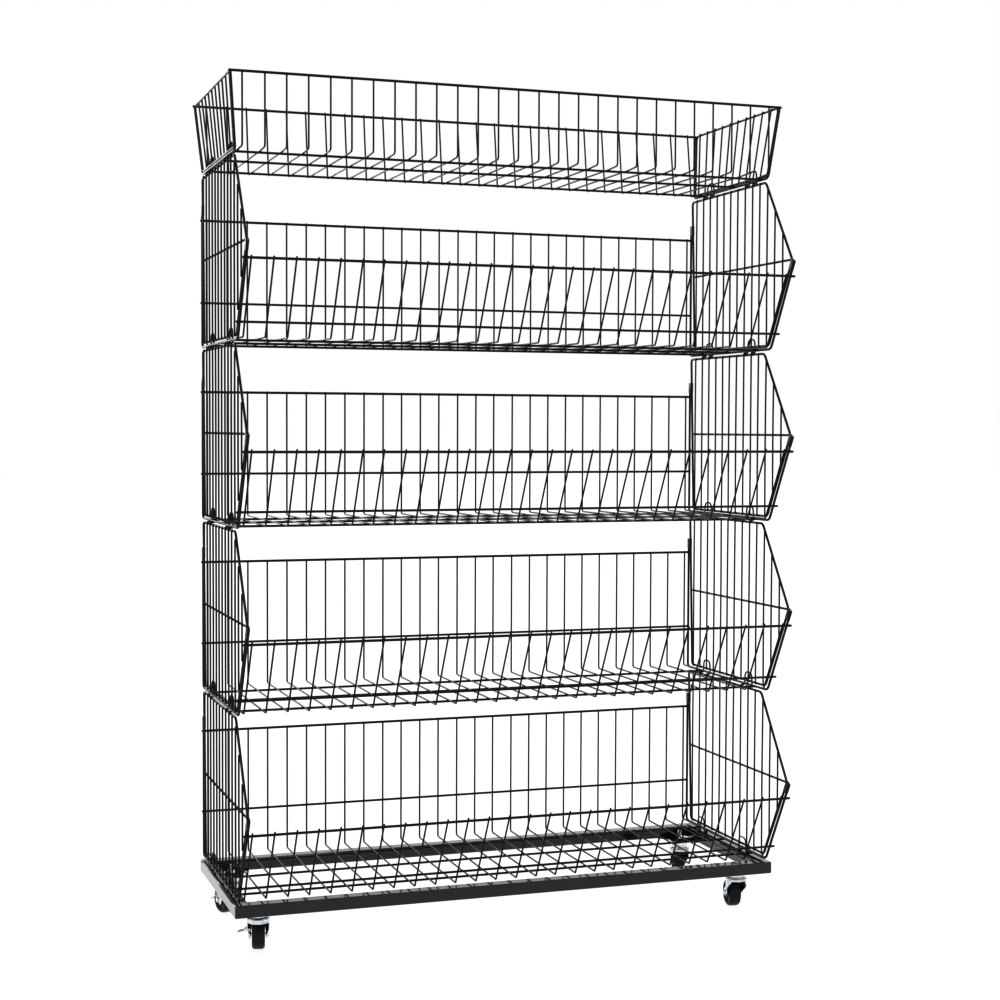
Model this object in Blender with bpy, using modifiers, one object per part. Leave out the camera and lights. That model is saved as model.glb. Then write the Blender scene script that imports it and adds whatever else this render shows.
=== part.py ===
"""Rolling display rack: wire baskets stacked in five tiers on a tube base with swivel casters.

Metres, +Z up, the floor at z = 0, the open fronts of the baskets facing -Y.
"""

import math

import bmesh
import bpy
from mathutils import Matrix, Vector

OBJECT_NAME = "rolling_display_rack"

# Fits shared by the whole rack
GAP = 0.0003
WELD_DEPTH = 0.0006

# Wire stock, drawn as a square section of this side
THIN_WIRE = 0.0024
LONG_WIRE = 0.0032
RAIL_WIRE = 0.0036
FRAME_WIRE = 0.0044

# Base frame
BASE_LENGTH = 1.000
BASE_DEPTH = 0.349
TUBE_WIDTH = 0.040
TUBE_HEIGHT = 0.0215
TUBE_ROUNDING = 0.002
PLATE_THICKNESS = 0.003
PLATE_LEG = 0.046
PLATE_NOSE = 0.020

# Casters
CASTER_INSET = 0.0085
TRAIL = 0.024
WHEEL_RADIUS = 0.025
WHEEL_WIDTH = 0.022
WHEEL_CHAMFER = 0.002
WHEEL_DISH = 0.0018
RIM_WIDTH = 0.0022
AXLE_RADIUS = 0.003
AXLE_HEAD_RADIUS = 0.005
AXLE_HEAD_HEIGHT = 0.003
LEG_THICKNESS = 0.002
LEG_CLEARANCE = 0.0016
LEG_EYE_RADIUS = 0.0075
LEG_EYE_TURNS = (20, -25, -90, -155, 160)
LEG_TOP_REACH = 0.012
CROWN_RADIUS = 0.0195
CROWN_THICKNESS = 0.003
CROWN_OVER_WHEEL = 0.0036
RACE_RADIUS = 0.020
RACE_FOOT_RADIUS = 0.0165
RACE_HEIGHT = 0.013
BALL_RING_RADIUS = 0.0185
BALL_RING_HEIGHT = 0.0038
STEM_RADIUS = 0.004
STEM_ABOVE_NUT = 0.003
RIVET_RADIUS = 0.007
RIVET_HEIGHT = 0.0013
NUT_RADIUS = 0.0075
NUT_HEIGHT = 0.0065
NUT_SIDES = 6
LEVER_RISE = 0.0125
LEVER_BACK = 0.014
LEVER_LENGTH = 0.017
LEVER_WIDTH = 0.009
LEVER_THICKNESS = 0.0016
LEVER_DROOP = math.radians(12.0)
LEVER_BARREL_RADIUS = 0.0026
LEVER_PIN_RADIUS = 0.0012
EAR_THICKNESS = 0.0016
EAR_SIZE = 0.0042
ROUND_STEPS = 10
SMALL_STEPS = 8
WHEEL_STEPS = 16
CASTERS = {
    "front_left": {"side": -1, "end": -1, "turn": math.radians(-12.0), "brake": True},
    "front_right": {"side": 1, "end": -1, "turn": math.radians(-8.5), "brake": False},
    "back_left": {"side": -1, "end": 1, "turn": math.radians(17.5), "brake": True},
    "back_right": {"side": 1, "end": 1, "turn": math.radians(-18.0), "brake": False},
}

# Deep baskets: heights are above the face that the basket stands on
DEEP_TIERS = 4
TIER_PITCH = 0.314
PANEL_INSET = 0.008
END_SPACE = 0.0085
UPRIGHT_COUNT = 27
FRONT_RAIL_OVERHANG = 0.0075
BACK_RAIL_OVERHANG = 0.003
BACK_OVERHANG = 0.006
FRONT_INSET = 0.0095
FRONT_LEAN = math.radians(29.5)
END_BEND = 0.007
BACK_RAIL_HEIGHT = 0.237
BACK_MID_HEIGHT = 0.0865
FRONT_RAIL_HEIGHT = 0.1345
FRONT_LOW_HEIGHT = 0.034
FLOOR_WIRE_SHARES = (0.20, 0.52, 0.87)
CLIP_THICKNESS = 0.006
CLIP_SKIN = 0.0006
CLIP_LENGTH = 0.020
BACK_CLIP_HEIGHT = 0.255
FRONT_CLIP_HEIGHT = 0.151
END_PAST_CLIP = 0.005

# Side panels of the deep baskets
PANEL_FOOT = 0.012
PANEL_CORNER = 0.006
PANEL_BACK_FOOT = 0.0205
PANEL_BACK_TOP = 0.0057
PANEL_TOP_FRONT = 0.033
PANEL_LOW_FRONT = 0.0165
APEX_HEIGHT = 0.162
APEX_REACH = 0.071
PANEL_WIRES = 13
PANEL_WIRE_START = 0.0275
PANEL_WIRE_FRONT = 0.0301
ARCH_WIRES = (1, 7)
ARCH_RISE = 0.0265
ARCH_SHOULDER = 0.006
ARCH_OFFSET = 0.0048

# Shallow top basket
TOP_RIM_HEIGHT = 0.131
TOP_SIDE_FLARE = 0.012
TOP_FRONT_FLARE = 0.021
TOP_BACK_FLARE = 0.020
TOP_BACK_REACH = 0.008
TOP_FRONT_INSET = 0.026
TOP_FRONT_BEND = 0.0100
TOP_NEST_GAP = 0.0008
TOP_PANEL_WIRES = 10
TOP_PANEL_MARGIN = 0.022
TOP_TIP = 0.0035
TOP_FLOOR_SHARES = (0.13, 0.575, 0.93)

# Places that follow from the sizes above
LEG_X = WHEEL_WIDTH / 2 + LEG_CLEARANCE + LEG_THICKNESS / 2
CROWN_LOW = 2 * WHEEL_RADIUS + CROWN_OVER_WHEEL
CROWN_TOP = CROWN_LOW + CROWN_THICKNESS
RING_TOP = CROWN_TOP + BALL_RING_HEIGHT
RACE_FOOT = RING_TOP + GAP
RACE_TOP = RACE_FOOT + RACE_HEIGHT
CASTER_HEIGHT = RACE_TOP + GAP
LEVER_AXIS_X = -(LEG_X + LEG_THICKNESS / 2 + LEVER_BARREL_RADIUS + GAP)
LEVER_HEIGHT = WHEEL_RADIUS + LEVER_RISE
BASE_TOP = CASTER_HEIGHT + TUBE_HEIGHT
PANEL_X = BASE_LENGTH / 2 - PANEL_INSET
FRONT_RAIL_HALF = PANEL_X + FRONT_RAIL_OVERHANG
BACK_RAIL_HALF = PANEL_X + BACK_RAIL_OVERHANG
END_BACK = BASE_DEPTH / 2 + BACK_OVERHANG
END_FRONT = -BASE_DEPTH / 2 + FRONT_INSET
END_FLOOR = FRAME_WIRE / 2 + GAP
FLOOR_LEVEL = END_FLOOR + (LONG_WIRE + THIN_WIRE) / 2 + GAP
RAIL_OFFSET = (FRAME_WIRE + RAIL_WIRE) / 2 - WELD_DEPTH
LONG_OFFSET = (FRAME_WIRE + LONG_WIRE) / 2 - WELD_DEPTH

BLACK = {"color": (0.012, 0.012, 0.013, 1.0), "roughness": 0.38, "metallic": 0.0}
ZINC = {"color": (0.60, 0.60, 0.58, 1.0), "roughness": 0.32, "metallic": 1.0}
RUBBER = {"color": (0.018, 0.018, 0.018, 1.0), "roughness": 0.75, "metallic": 0.0}
GREY = {"color": (0.10, 0.10, 0.105, 1.0), "roughness": 0.40, "metallic": 0.0}


def clear_scene():
    for obj in list(bpy.data.objects):
        bpy.data.objects.remove(obj, do_unlink=True)


def new_collection(name):
    collection = bpy.data.collections.new(name)
    bpy.context.scene.collection.children.link(collection)
    return collection


def make_material(name, look):
    material = bpy.data.materials.new(name)
    material.use_nodes = True
    shader = material.node_tree.nodes["Principled BSDF"]
    shader.inputs["Base Color"].default_value = look["color"]
    shader.inputs["Roughness"].default_value = look["roughness"]
    shader.inputs["Metallic"].default_value = look["metallic"]
    return material


def place(name, mesh, material, location=(0, 0, 0), parent=None):
    """Adds one part of the rack; copies of a part may share their mesh."""
    obj = bpy.data.objects.new(name, mesh)
    if not mesh.materials:
        mesh.materials.append(material)
    parts.objects.link(obj)
    obj.location = location
    obj.parent = parent
    return obj


def scratch_object(name, data):
    obj = bpy.data.objects.new(name, data)
    bpy.context.scene.collection.objects.link(obj)
    return obj


def evaluated_mesh(obj, name):
    """The object's shape with its modifiers, as a mesh of its own; the object goes."""
    graph = bpy.context.evaluated_depsgraph_get()
    graph.update()
    mesh = bpy.data.meshes.new_from_object(obj.evaluated_get(graph))
    mesh.name = name
    mesh.transform(obj.matrix_world)
    bpy.data.objects.remove(obj, do_unlink=True)
    return mesh


def weld(mesh):
    """Closes loose caps and turns every face outward."""
    shape = bmesh.new()
    shape.from_mesh(mesh)
    bmesh.ops.remove_doubles(shape, verts=shape.verts, dist=1e-6)
    bmesh.ops.recalc_face_normals(shape, faces=shape.faces)
    shape.to_mesh(mesh)
    shape.free()
    return mesh


def smooth(mesh, angle=40.0):
    mesh.shade_smooth()
    mesh.set_sharp_from_angle(angle=math.radians(angle))
    return mesh


def wire_mesh(name, paths):
    """One square wire along each path; a path is points, side, and optionally tilt or closed."""
    curve = bpy.data.curves.new(name, "CURVE")
    curve.dimensions = "3D"
    curve.bevel_depth = 1.0
    curve.bevel_resolution = 0
    curve.use_fill_caps = True
    for path in paths:
        spline = curve.splines.new("POLY")
        spline.points.add(len(path["points"]) - 1)
        spline.use_cyclic_u = path.get("closed", False)
        for point, co in zip(spline.points, path["points"]):
            point.co = (*co, 1.0)
            point.radius = path["side"] / math.sqrt(2)
            point.tilt = math.pi / 4 + path.get("tilt", 0.0)
    return weld(evaluated_mesh(scratch_object(name, curve), name))


def fuse(name, first, *others):
    """Joins meshes into one body with Boolean unions."""
    base = scratch_object(name, first)
    tools = [scratch_object(name + "_tool", mesh) for mesh in others]
    for tool in tools:
        union = base.modifiers.new("union", "BOOLEAN")
        union.operation = "UNION"
        union.solver = "EXACT"
        union.object = tool
    mesh = evaluated_mesh(base, name)
    for tool in tools:
        bpy.data.objects.remove(tool, do_unlink=True)
    return mesh


def box_mesh(name, size, matrix=None):
    mesh = bpy.data.meshes.new(name)
    shape = bmesh.new()
    bmesh.ops.create_cube(shape, size=1.0)
    bmesh.ops.scale(shape, verts=shape.verts, vec=size)
    bmesh.ops.transform(shape, verts=shape.verts, matrix=matrix or Matrix.Identity(4))
    shape.to_mesh(mesh)
    shape.free()
    return mesh


def merge_meshes(name, meshes):
    """Puts separate bodies into one mesh, so that one union can join them all."""
    shape = bmesh.new()
    for mesh in meshes:
        shape.from_mesh(mesh)
    mesh = bpy.data.meshes.new(name)
    shape.to_mesh(mesh)
    shape.free()
    return mesh


def turned_mesh(name, profile, steps, closed=False):
    """Turns a profile of (radius, height), listed down its outer side, about Z."""
    mesh = bpy.data.meshes.new(name)
    shape = bmesh.new()
    rings = [shape.verts.new((radius, 0.0, height)) for radius, height in profile]
    for upper, lower in zip(rings, rings[1:] + rings[:1] if closed else rings[1:]):
        shape.edges.new((upper, lower))
    shape.to_mesh(mesh)
    shape.free()
    obj = scratch_object(name, mesh)
    screw = obj.modifiers.new("screw", "SCREW")
    screw.steps = steps
    screw.render_steps = steps
    screw.use_merge_vertices = True
    screw.merge_threshold = 0.00001
    return weld(evaluated_mesh(obj, name))


def plate_mesh(name, outlines, thickness):
    """A flat plate in XY, centred on z = 0; outlines after the first are holes."""
    curve = bpy.data.curves.new(name, "CURVE")
    curve.dimensions = "2D"
    curve.fill_mode = "BOTH"
    curve.extrude = thickness / 2
    for outline in outlines:
        spline = curve.splines.new("POLY")
        spline.points.add(len(outline) - 1)
        spline.use_cyclic_u = True
        for point, (across, along) in zip(spline.points, outline):
            point.co = (across, along, 0.0, 1.0)
    return weld(evaluated_mesh(scratch_object(name, curve), name))


def circle(center, radius, count):
    """Corner points of a round hole whose flats still clear the radius."""
    reach = radius / math.cos(math.pi / count)
    turns = [2 * math.pi * (i + 0.5) / count for i in range(count)]
    return [(center[0] + reach * math.cos(t), center[1] + reach * math.sin(t)) for t in turns]


def in_plane(x, points):
    return [(x, y, z) for y, z in points]


def rounded(corners, size, closed=True):
    """Cuts each corner of a (y, z) outline back by size, leaving open ends as they are."""
    points = []
    count = len(corners)
    for i, corner in enumerate(corners):
        here = Vector(corner)
        if not closed and i in (0, count - 1):
            points.append(tuple(here))
            continue
        for other in (corners[i - 1], corners[(i + 1) % count]):
            toward = (Vector(other) - here).normalized()
            points.append(tuple(here + toward * size))
    return points


def along(start, end, height):
    """The (y, z) point at a height on the line from start to end."""
    share = (height - start[1]) / (end[1] - start[1])
    return (start[0] + share * (end[0] - start[0]), height)


def upright_places():
    span = 2 * (PANEL_X - END_SPACE)
    return [-span / 2 + i * span / (UPRIGHT_COUNT - 1) for i in range(UPRIGHT_COUNT)]


def long_wire(y, z, half, side=LONG_WIRE, tilt=0.0):
    return {"points": [(-half, y, z), (half, y, z)], "side": side, "tilt": tilt}


# Deep basket: back, floor and leaning front bent from one welded wire mat


def front_line(height):
    """The (y, z) point of the thick end wire's leaning front at a height."""
    return (END_FRONT - (height - END_FLOOR) * math.tan(FRONT_LEAN), height)


def outside_front(height, offset):
    y, z = front_line(height)
    return (y - offset * math.cos(FRONT_LEAN), z - offset * math.sin(FRONT_LEAN))


def deep_end_paths():
    corners = [
        (END_BACK, BACK_CLIP_HEIGHT + END_PAST_CLIP),
        (END_BACK, END_FLOOR),
        (END_FRONT, END_FLOOR),
        front_line(FRONT_CLIP_HEIGHT + END_PAST_CLIP),
    ]
    points = rounded(corners, END_BEND, closed=False)
    return [{"points": in_plane(x, points), "side": FRAME_WIRE} for x in (-PANEL_X, PANEL_X)]


def clip_reaches():
    """How far the back and front clips reach in from their end wire to the panel's frame."""
    corner = panel_corners()
    side = FRAME_WIRE / 2 + GAP
    back = END_BACK - along(corner["back_foot"], corner["back_top"], BACK_CLIP_HEIGHT + CLIP_LENGTH / 2)[0]
    apex_y, apex_z = corner["apex"]
    front = (apex_y - front_line(apex_z)[0]) * math.cos(FRONT_LEAN)
    return back - side, front - side


def deep_clips():
    """Flat clips at both ends of the end wires, reaching to the side panel's frame."""
    back_reach, front_reach = clip_reaches()
    outer = FRAME_WIRE / 2 + CLIP_SKIN
    clips = []
    for x in (-PANEL_X, PANEL_X):
        center = (x, END_BACK + (outer - back_reach) / 2, BACK_CLIP_HEIGHT)
        size = (CLIP_THICKNESS, outer + back_reach, CLIP_LENGTH)
        clips.append(box_mesh("clip", size, Matrix.Translation(center)))
        y, z = outside_front(FRONT_CLIP_HEIGHT, (outer - front_reach) / 2)
        size = (CLIP_THICKNESS, outer + front_reach, CLIP_LENGTH)
        turn = Matrix.Rotation(FRONT_LEAN, 4, "X")
        clips.append(box_mesh("clip", size, Matrix.Translation((x, y, z)) @ turn))
    return merge_meshes("clips", clips)


def deep_basket_mesh():
    back_y = END_BACK + RAIL_OFFSET
    front_top = outside_front(FRONT_RAIL_HEIGHT, RAIL_OFFSET)
    wire_back = END_BACK - FRAME_WIRE / 2
    wire_front = outside_front(FLOOR_LEVEL, -FRAME_WIRE / 2)[0]
    upright = [(back_y, BACK_RAIL_HEIGHT), (wire_back, FLOOR_LEVEL), (wire_front, FLOOR_LEVEL), front_top]
    uprights = [{"points": in_plane(x, upright), "side": THIN_WIRE} for x in upright_places()]
    lean = math.atan2(wire_front - front_top[0], front_top[1] - FLOOR_LEVEL)
    longs = [
        long_wire(back_y, BACK_RAIL_HEIGHT, BACK_RAIL_HALF, RAIL_WIRE),
        long_wire(END_BACK + LONG_OFFSET, BACK_MID_HEIGHT, BACK_RAIL_HALF),
        long_wire(*outside_front(FRONT_LOW_HEIGHT, LONG_OFFSET), FRONT_RAIL_HALF, tilt=FRONT_LEAN),
        long_wire(*front_top, FRONT_RAIL_HALF, RAIL_WIRE, lean),
    ]
    for share in FLOOR_WIRE_SHARES:
        y = wire_back + share * (wire_front - wire_back)
        longs.append(long_wire(y, END_FLOOR, PANEL_X))
    return fuse(
        "deep_basket",
        wire_mesh("uprights", uprights),
        wire_mesh("longs", longs),
        wire_mesh("ends", deep_end_paths()),
        deep_clips(),
    )


# Side panel of a deep basket: a bent frame filled with upright wires


def panel_corners():
    top = TIER_PITCH - FRAME_WIRE / 2
    return {
        "back_foot": (END_BACK - PANEL_BACK_FOOT, PANEL_FOOT),
        "back_top": (END_BACK - PANEL_BACK_TOP, top),
        "front_top": (-BASE_DEPTH / 2 + PANEL_TOP_FRONT, top),
        "apex": (-BASE_DEPTH / 2 - APEX_REACH, APEX_HEIGHT),
        "low_front": (-BASE_DEPTH / 2 + PANEL_LOW_FRONT, PANEL_FOOT),
    }


def height_at(start, end, y):
    """The height at y on the line from start to end, both (y, z)."""
    share = (y - start[0]) / (end[0] - start[0])
    return start[1] + share * (end[1] - start[1])


def panel_heights(y, corner):
    """Where an upright wire at y meets the frame below and above."""
    low = corner["low_front"]
    high = corner["front_top"]
    below = low[1] if y > low[0] else height_at(low, corner["apex"], y)
    above = high[1] if y > high[0] else height_at(high, corner["apex"], y)
    return below, above


def arch_path(x, first, second, foot_x, foot, shoulder_z, crest):
    inward = ARCH_SHOULDER if second > first else -ARCH_SHOULDER
    points = [
        (foot_x, first, foot),
        (x, first, shoulder_z),
        (x, first + inward, crest),
        (x, second - inward, crest),
        (x, second, shoulder_z),
        (foot_x, second, foot),
    ]
    return {"points": points, "side": THIN_WIRE}


def panel_wire_y(index):
    """The upright wires share the depth from behind the back corner to short of the apex."""
    back = BASE_DEPTH / 2 - PANEL_WIRE_START
    front = panel_corners()["apex"][0] + PANEL_WIRE_FRONT
    return back + index * (front - back) / (PANEL_WIRES - 1)


def side_panel_mesh(side):
    """A panel for one side of a basket, in the plane x = 0, with its arches set inward."""
    corner = panel_corners()
    frame = [corner[key] for key in ("back_foot", "back_top", "front_top", "apex", "low_front")]
    outline = {"points": in_plane(0, rounded(frame, PANEL_CORNER)), "side": FRAME_WIRE, "closed": True}
    wires = []
    for i in range(PANEL_WIRES):
        y = panel_wire_y(i)
        below, above = panel_heights(y, corner)
        wires.append({"points": in_plane(0, [(y, below), (y, above)]), "side": THIN_WIRE})
    top = corner["back_top"][1]
    inner = -side * ARCH_OFFSET
    arches = []
    for i in ARCH_WIRES:
        arches.append(arch_path(inner, panel_wire_y(i), panel_wire_y(i + 1), -side * FRAME_WIRE / 4,
                                top + GAP, TIER_PITCH - 2 * GAP, TIER_PITCH + ARCH_RISE))
    mid_x = -side * ((THIN_WIRE + LONG_WIRE) / 2 + GAP)
    back_end = along(corner["back_foot"], corner["back_top"], APEX_HEIGHT)
    front_end = corner["apex"][0] + PANEL_CORNER / 2
    mid = {"points": [(mid_x, back_end[0], APEX_HEIGHT), (mid_x, front_end, APEX_HEIGHT)], "side": LONG_WIRE}
    return fuse(
        "side_panel",
        wire_mesh("frame", [outline]),
        wire_mesh("wires", wires),
        wire_mesh("arches", arches + [mid]),
    )


# Shallow top basket: a flared tray in the same wire


def top_profile():
    """Corners of the tray's end wire from back rim to front rim, as (y, z)."""
    back = END_BACK + TOP_BACK_REACH
    front = -BASE_DEPTH / 2 + TOP_FRONT_INSET
    return [
        (back, TOP_RIM_HEIGHT),
        (back - TOP_BACK_FLARE, END_FLOOR),
        (front, END_FLOOR),
        (front - TOP_FRONT_FLARE, TOP_RIM_HEIGHT),
    ]


def top_floor_places():
    """Where the tray's long floor wires lie, from back to front."""
    back = top_profile()[1][0]
    front = top_profile()[2][0]
    return [back + share * (front - back) for share in TOP_FLOOR_SHARES]


def top_upright():
    """A bent wire of the tray: level over the long wires, then rising to a plumb front."""
    back_rim, back_low, _, front_rim = top_profile()
    floor_back = (back_low[0], FLOOR_LEVEL)
    floor_front = (top_floor_places()[-1], FLOOR_LEVEL)
    return [back_rim, floor_back, floor_front, (front_rim[0], TOP_FRONT_BEND), front_rim]


def flare(mesh, side):
    """Moves a flat end of the tray from x = 0 to its side and leans it outward."""
    slope = side * TOP_SIDE_FLARE / TOP_RIM_HEIGHT
    mesh.transform(Matrix(((1, 0, slope, side * PANEL_X), (0, 1, 0, 0), (0, 0, 1, 0), (0, 0, 0, 1))))
    return mesh


def top_basket_mesh():
    back_rim, _, _, front_rim = top_profile()
    uprights = [{"points": in_plane(x, top_upright()), "side": THIN_WIRE} for x in upright_places()]
    end_path = {"points": in_plane(0, rounded(top_profile(), END_BEND, closed=False)), "side": FRAME_WIRE}
    ends = [flare(wire_mesh("end", [end_path]), side) for side in (-1, 1)]
    half = PANEL_X + TOP_SIDE_FLARE + FRAME_WIRE
    lean = math.atan2(TOP_FRONT_FLARE, TOP_RIM_HEIGHT)
    longs = [
        long_wire(*back_rim, half, FRAME_WIRE),
        long_wire(*front_rim, half, FRAME_WIRE, lean),
    ]
    for y in top_floor_places():
        longs.append(long_wire(y, END_FLOOR, PANEL_X))
    return fuse(
        "top_basket",
        wire_mesh("uprights", uprights),
        wire_mesh("longs", longs),
        merge_meshes("ends", ends),
    )


def top_panel_mesh(side):
    """A side of the tray, nested inside the bend of its end wire."""
    back_rim, back_low, front_low, front_rim = top_profile()
    inset = FRAME_WIRE + TOP_NEST_GAP
    foot = END_FLOOR + FRAME_WIRE + GAP
    rim = TOP_RIM_HEIGHT
    back_foot = along(back_low, back_rim, foot)[0] - inset
    front_foot = along(front_low, front_rim, foot)[0] + inset
    back_top = back_rim[0] - inset
    front_top = front_rim[0] + inset
    corners = [(back_foot, foot), (back_top, rim), (front_top, rim), (front_foot, foot)]
    frame = {"points": in_plane(0, rounded(corners, PANEL_CORNER)), "side": FRAME_WIRE, "closed": True}
    wires = []
    for i in range(TOP_PANEL_WIRES):
        share = i / (TOP_PANEL_WIRES - 1)
        low = back_foot - TOP_PANEL_MARGIN + share * (front_foot - back_foot + 2 * TOP_PANEL_MARGIN)
        high = back_top - TOP_PANEL_MARGIN + share * (front_top - back_top + 2 * TOP_PANEL_MARGIN)
        wires.append({"points": in_plane(0, [(low, foot), (high, rim + TOP_TIP)]), "side": THIN_WIRE})
    return flare(fuse("top_panel", wire_mesh("frame", [frame]), wire_mesh("wires", wires)), side)


# Base frame


def tube_mesh(name, size, center):
    obj = scratch_object(name, box_mesh(name, size, Matrix.Translation(center)))
    bevel = obj.modifiers.new("bevel", "BEVEL")
    bevel.width = TUBE_ROUNDING
    bevel.segments = 1
    return evaluated_mesh(obj, name)


def base_arches(side):
    """Loops standing on a side tube that locate the lowest basket."""
    x = side * (PANEL_X - ARCH_OFFSET)
    paths = []
    for i in ARCH_WIRES:
        first = panel_wire_y(i)
        second = panel_wire_y(i + 1)
        points = [
            (x, first, BASE_TOP - TUBE_ROUNDING),
            (x, first - ARCH_SHOULDER, BASE_TOP + ARCH_RISE),
            (x, second + ARCH_SHOULDER, BASE_TOP + ARCH_RISE),
            (x, second, BASE_TOP - TUBE_ROUNDING),
        ]
        paths.append({"points": points, "side": THIN_WIRE})
    return wire_mesh("base_arches", paths)


def build_base():
    middle = CASTER_HEIGHT + TUBE_HEIGHT / 2
    for name, end in (("front", -1), ("back", 1)):
        center = (0, end * (BASE_DEPTH - TUBE_WIDTH) / 2, middle)
        mesh = tube_mesh("base_tube_" + name, (BASE_LENGTH, TUBE_WIDTH, TUBE_HEIGHT), center)
        place("base_tube_" + name, mesh, powder_grey)
    for name, side in (("left", -1), ("right", 1)):
        center = (side * (BASE_LENGTH - TUBE_WIDTH) / 2, 0, middle)
        length = BASE_DEPTH - 2 * TUBE_WIDTH - 2 * GAP
        tube = tube_mesh("base_tube_" + name, (TUBE_WIDTH, length, TUBE_HEIGHT), center)
        place("base_tube_" + name, fuse("base_tube_" + name, tube, base_arches(side)), powder_grey)


def stem_place(caster):
    return (
        caster["side"] * (BASE_LENGTH / 2 - TUBE_WIDTH - CASTER_INSET),
        caster["end"] * (BASE_DEPTH / 2 - TUBE_WIDTH - CASTER_INSET),
    )


def build_corner_plate(name, caster):
    """A gusset let into the corner of the tubes, which the caster's stem bolts through."""
    side = caster["side"]
    end = caster["end"]
    corner = Vector((side * (BASE_LENGTH / 2 - TUBE_WIDTH - GAP), end * (BASE_DEPTH / 2 - TUBE_WIDTH - GAP)))
    shape = [(0, 0), (PLATE_LEG, 0), (PLATE_LEG, PLATE_NOSE), (PLATE_NOSE, PLATE_LEG), (0, PLATE_LEG)]
    outline = [(corner.x - side * a, corner.y - end * b) for a, b in shape]
    hole = circle(stem_place(caster), STEM_RADIUS + GAP, ROUND_STEPS)
    mesh = plate_mesh("corner_plate_" + name, [outline, hole], PLATE_THICKNESS)
    place("corner_plate_" + name, mesh, powder_black, (0, 0, CASTER_HEIGHT + PLATE_THICKNESS / 2))


# Casters


def stem_mesh():
    """Threaded stem, upper race and kingpin, turned in one piece."""
    top = CASTER_HEIGHT + PLATE_THICKNESS + NUT_HEIGHT + GAP + STEM_ABOVE_NUT
    rivet_top = CROWN_LOW - GAP
    profile = [
        (0, top),
        (STEM_RADIUS, top),
        (STEM_RADIUS, RACE_TOP),
        (RACE_RADIUS, RACE_TOP),
        (RACE_RADIUS, (RACE_TOP + RACE_FOOT) / 2),
        (RACE_FOOT_RADIUS, RACE_FOOT),
        (STEM_RADIUS, RACE_FOOT),
        (STEM_RADIUS, rivet_top),
        (RIVET_RADIUS, rivet_top),
        (RIVET_RADIUS, rivet_top - RIVET_HEIGHT),
        (0, rivet_top - RIVET_HEIGHT),
    ]
    return smooth(turned_mesh("caster_stem", profile, ROUND_STEPS))


def nut_mesh():
    bore = (STEM_RADIUS + GAP) / math.cos(math.pi / NUT_SIDES)
    profile = [(NUT_RADIUS, NUT_HEIGHT), (NUT_RADIUS, 0), (bore, 0), (bore, NUT_HEIGHT)]
    return turned_mesh("stem_nut", profile, NUT_SIDES, closed=True)


def leg_outline():
    """Side view of a fork leg as (trail direction, height): wide at the crown, an eye at the axle."""
    crown_middle = CROWN_LOW + CROWN_THICKNESS / 2
    outline = [(-LEG_TOP_REACH, crown_middle), (LEG_TOP_REACH, crown_middle)]
    for degrees in LEG_EYE_TURNS:
        turn = math.radians(degrees)
        forward = TRAIL + LEG_EYE_RADIUS * math.cos(turn)
        outline.append((forward, WHEEL_RADIUS + LEG_EYE_RADIUS * math.sin(turn)))
    return outline


def fork_legs():
    eye = circle((TRAIL, WHEEL_RADIUS), AXLE_RADIUS + GAP, SMALL_STEPS)
    legs = []
    for side in (-1, 1):
        leg = plate_mesh("leg", [leg_outline(), eye], LEG_THICKNESS)
        stand = Matrix(((0, 0, 1, side * LEG_X), (1, 0, 0, 0), (0, 1, 0, 0), (0, 0, 0, 1)))
        leg.transform(stand)
        legs.append(weld(leg))
    return merge_meshes("legs", legs)


def lever_bracket():
    """Two ears on the left leg and the pin between them."""
    span = LEVER_WIDTH / 2 + GAP + EAR_THICKNESS / 2
    width = -LEG_X - LEVER_AXIS_X + EAR_SIZE / 2
    ears = []
    for side in (-1, 1):
        center = (-LEG_X - width / 2, LEVER_BACK + side * span, LEVER_HEIGHT)
        ears.append(box_mesh("ear", (width, EAR_THICKNESS, EAR_SIZE), Matrix.Translation(center)))
    reach = span + EAR_THICKNESS / 2 - GAP
    ends = [(LEVER_AXIS_X, LEVER_BACK + side * reach, LEVER_HEIGHT) for side in (-1, 1)]
    pin = wire_mesh("pin", [{"points": ends, "side": LEVER_PIN_RADIUS * math.sqrt(2)}])
    return merge_meshes("ears", ears), pin


def fork_mesh(brake):
    bore = (STEM_RADIUS + GAP) / math.cos(math.pi / ROUND_STEPS)
    profile = [
        (BALL_RING_RADIUS, RING_TOP),
        (CROWN_RADIUS, CROWN_TOP),
        (CROWN_RADIUS, CROWN_LOW),
        (bore, CROWN_LOW),
        (bore, RING_TOP),
    ]
    crown = turned_mesh("crown", profile, ROUND_STEPS, closed=True)
    if brake:
        return smooth(fuse("fork", crown, fork_legs(), *lever_bracket()))
    return smooth(fuse("fork", crown, fork_legs()))


def wheel_mesh():
    """A solid wheel turned about Z with dished faces, a rim and a bore for the axle."""
    half = WHEEL_WIDTH / 2
    bore = (AXLE_RADIUS + GAP) / math.cos(math.pi / WHEEL_STEPS)
    rim = WHEEL_RADIUS - WHEEL_CHAMFER - RIM_WIDTH
    upper = [
        (bore, half - WHEEL_DISH / 2),
        (rim, half - WHEEL_DISH),
        (rim + RIM_WIDTH / 2, half),
        (WHEEL_RADIUS - WHEEL_CHAMFER, half),
        (WHEEL_RADIUS, half - WHEEL_CHAMFER),
    ]
    lower = [(radius, -height) for radius, height in reversed(upper)]
    mesh = turned_mesh("wheel", upper + lower, WHEEL_STEPS, closed=True)
    mesh.transform(Matrix.Rotation(math.pi / 2, 4, "Y"))
    return smooth(mesh)


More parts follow.
